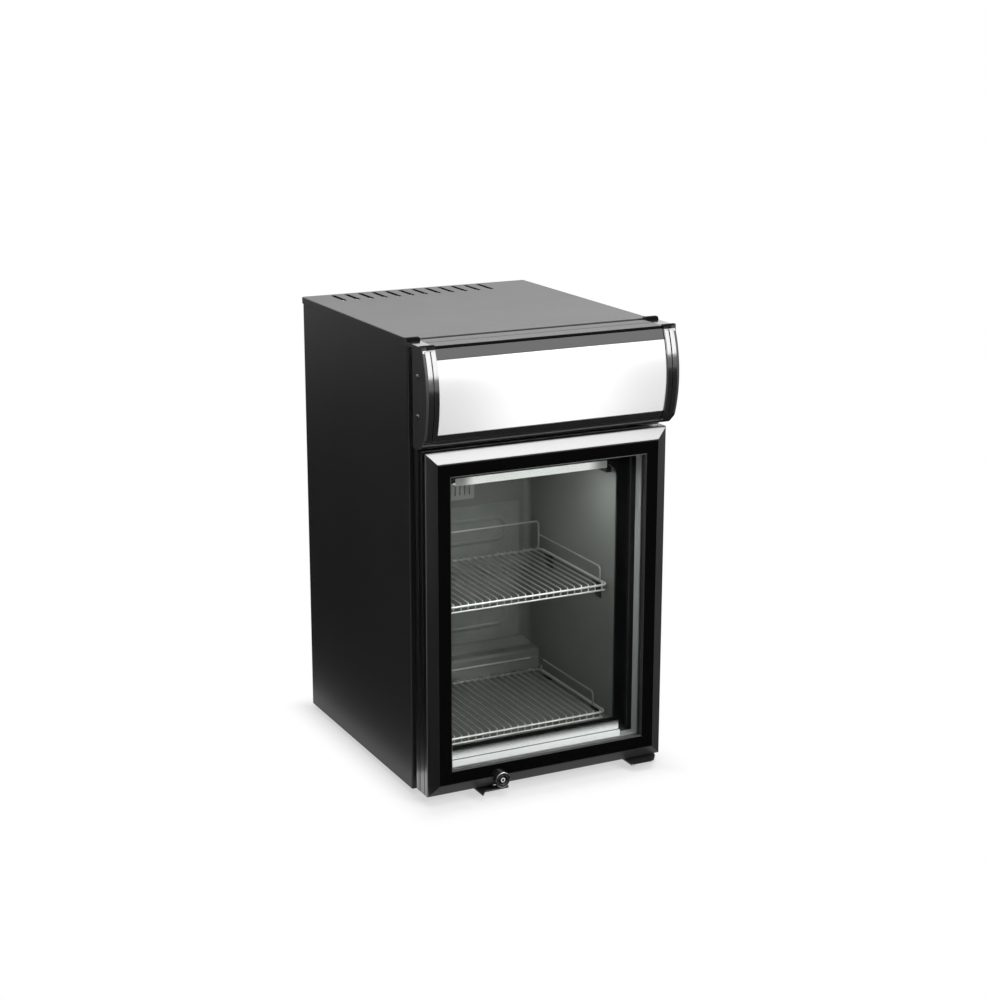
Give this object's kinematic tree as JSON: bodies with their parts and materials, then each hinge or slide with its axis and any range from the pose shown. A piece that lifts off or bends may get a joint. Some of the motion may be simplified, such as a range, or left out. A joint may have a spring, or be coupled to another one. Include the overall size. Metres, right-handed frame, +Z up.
{
  "type": "countertop display fridge",
  "caption": "Upright countertop drinks cooler with a framed glass door hung on the right, wire shelves inside and a curved illuminated canopy above the door.",
  "frame": {"origin": "centre of the footprint of the whole object, at the height of the worktop under its feet", "axes": "+Z up, -Y out of the front through the door, +X to the right as seen from the front, where the door is hung"},
  "size_m": [0.3972, 0.4698, 0.667],
  "materials": {
    "casing": "satin",
    "lid": "matte",
    "door_frame": "gloss",
    "canopy_moulding": "gloss",
    "sign": "satin",
    "lamp_tube": "gloss",
    "white_plastic": "satin",
    "reflector": "satin",
    "mouth": "satin",
    "liner": "satin",
    "foam": "matte",
    "clear_glass": "gloss",
    "bright_metal": "satin",
    "black_plastic": "satin",
    "rocker": "gloss",
    "seal": "matte",
    "lock_case": "gloss",
    "plated_steel": "polished",
    "hinge_steel": "satin",
    "bare_steel": "satin",
    "bracket_plastic": "satin",
    "plate_aluminium": "satin",
    "grey_plastic": "satin",
    "diffuser": "satin",
    "machine_black": "satin",
    "copper": "satin"
  },
  "bodies": {
    "cabinet": {"side_panel_left": "casing", "side_panel_right": "casing", "top_lid": "lid", "base_plate": "casing", "header_panel": "casing", "mouth_frame": "mouth", "liner": "liner", "insulation_foam": "foam", "insulation_back": "casing", "machine_deck": "casing", "feet": "seal", "rear_cover": "casing", "screws": "bare_steel", "cable_gland": "black_plastic", "light_switch": "black_plastic", "hinge_bracket_bottom": "hinge_steel", "hinge_bracket_top": "hinge_steel", "hinge_pins": "bare_steel", "strike_plate": "hinge_steel", "end_cap_left": "canopy_moulding", "end_cap_right": "canopy_moulding", "canopy_tray": "casing", "sign_panel": "sign", "top_strip": "canopy_moulding", "lower_strip": "canopy_moulding", "canopy_lamp": "lamp_tube", "canopy_lamp_holders": "white_plastic", "reflector": "reflector", "shelf_brackets": "bracket_plastic", "evaporator_plate": "plate_aluminium", "thermostat_box": "grey_plastic", "lamp_cover": "diffuser", "lamp_ends": "black_plastic", "lamp_board": "white_plastic", "compressor": "machine_black", "grommets": "seal", "compressor_rail": "bare_steel", "relay_box": "black_plastic", "condenser": "machine_black", "refrigerant_lines": "copper", "driver_box": "white_plastic"},
    "door": {"door_rail_top": "door_frame", "door_rail_bottom": "door_frame", "door_stile_left": "door_frame", "door_stile_right": "door_frame", "glass_front": "clear_glass", "glass_rear": "clear_glass", "glass_spacer": "bright_metal", "sill_strip": "bright_metal", "glazing_bead": "black_plastic", "door_gasket": "seal", "hinge_bushes": "white_plastic", "lock_housing": "lock_case"},
    "lock": {"lock_barrel": "plated_steel"},
    "knob": {"thermostat_knob": "black_plastic"},
    "rocker": {"light_rocker": "rocker"},
    "shelf_upper": {"upper_shelf": "plated_steel", "upper_shelf_rail": "plated_steel"},
    "shelf_lower": {"lower_shelf": "plated_steel", "lower_shelf_rail": "plated_steel"}
  },
  "joints": [
    {"name": "door_swing", "type": "hinge", "parent": "cabinet", "child": "door", "pos_m": [0.177, -0.19509, 0.0148], "axis": [0, 0, 1], "range_deg": [0, 110]},
    {"name": "lock_turn", "type": "hinge", "parent": "door", "child": "lock", "pos_m": [-0.078, -0.21909, 0.0265], "axis": [0, 1, 0], "range_deg": [0, 90]},
    {"name": "thermostat_turn", "type": "hinge", "parent": "cabinet", "child": "knob", "pos_m": [-0.031, 0.09591, 0.3744], "axis": [0, 1, 0], "range_deg": [0, 270]},
    {"name": "light_switch_rock", "type": "hinge", "parent": "cabinet", "child": "rocker", "pos_m": [0.12, 0.22534, 0.584], "axis": [1, 0, 0], "range_deg": [0, 14]},
    {"name": "upper_shelf_slide", "type": "slide", "parent": "cabinet", "child": "shelf_upper", "axis": [0, -1, 0], "range_m": [0, 0.03]},
    {"name": "lower_shelf_slide", "type": "slide", "parent": "cabinet", "child": "shelf_lower", "axis": [0, -1, 0], "range_m": [0, 0.03]}
  ]
}
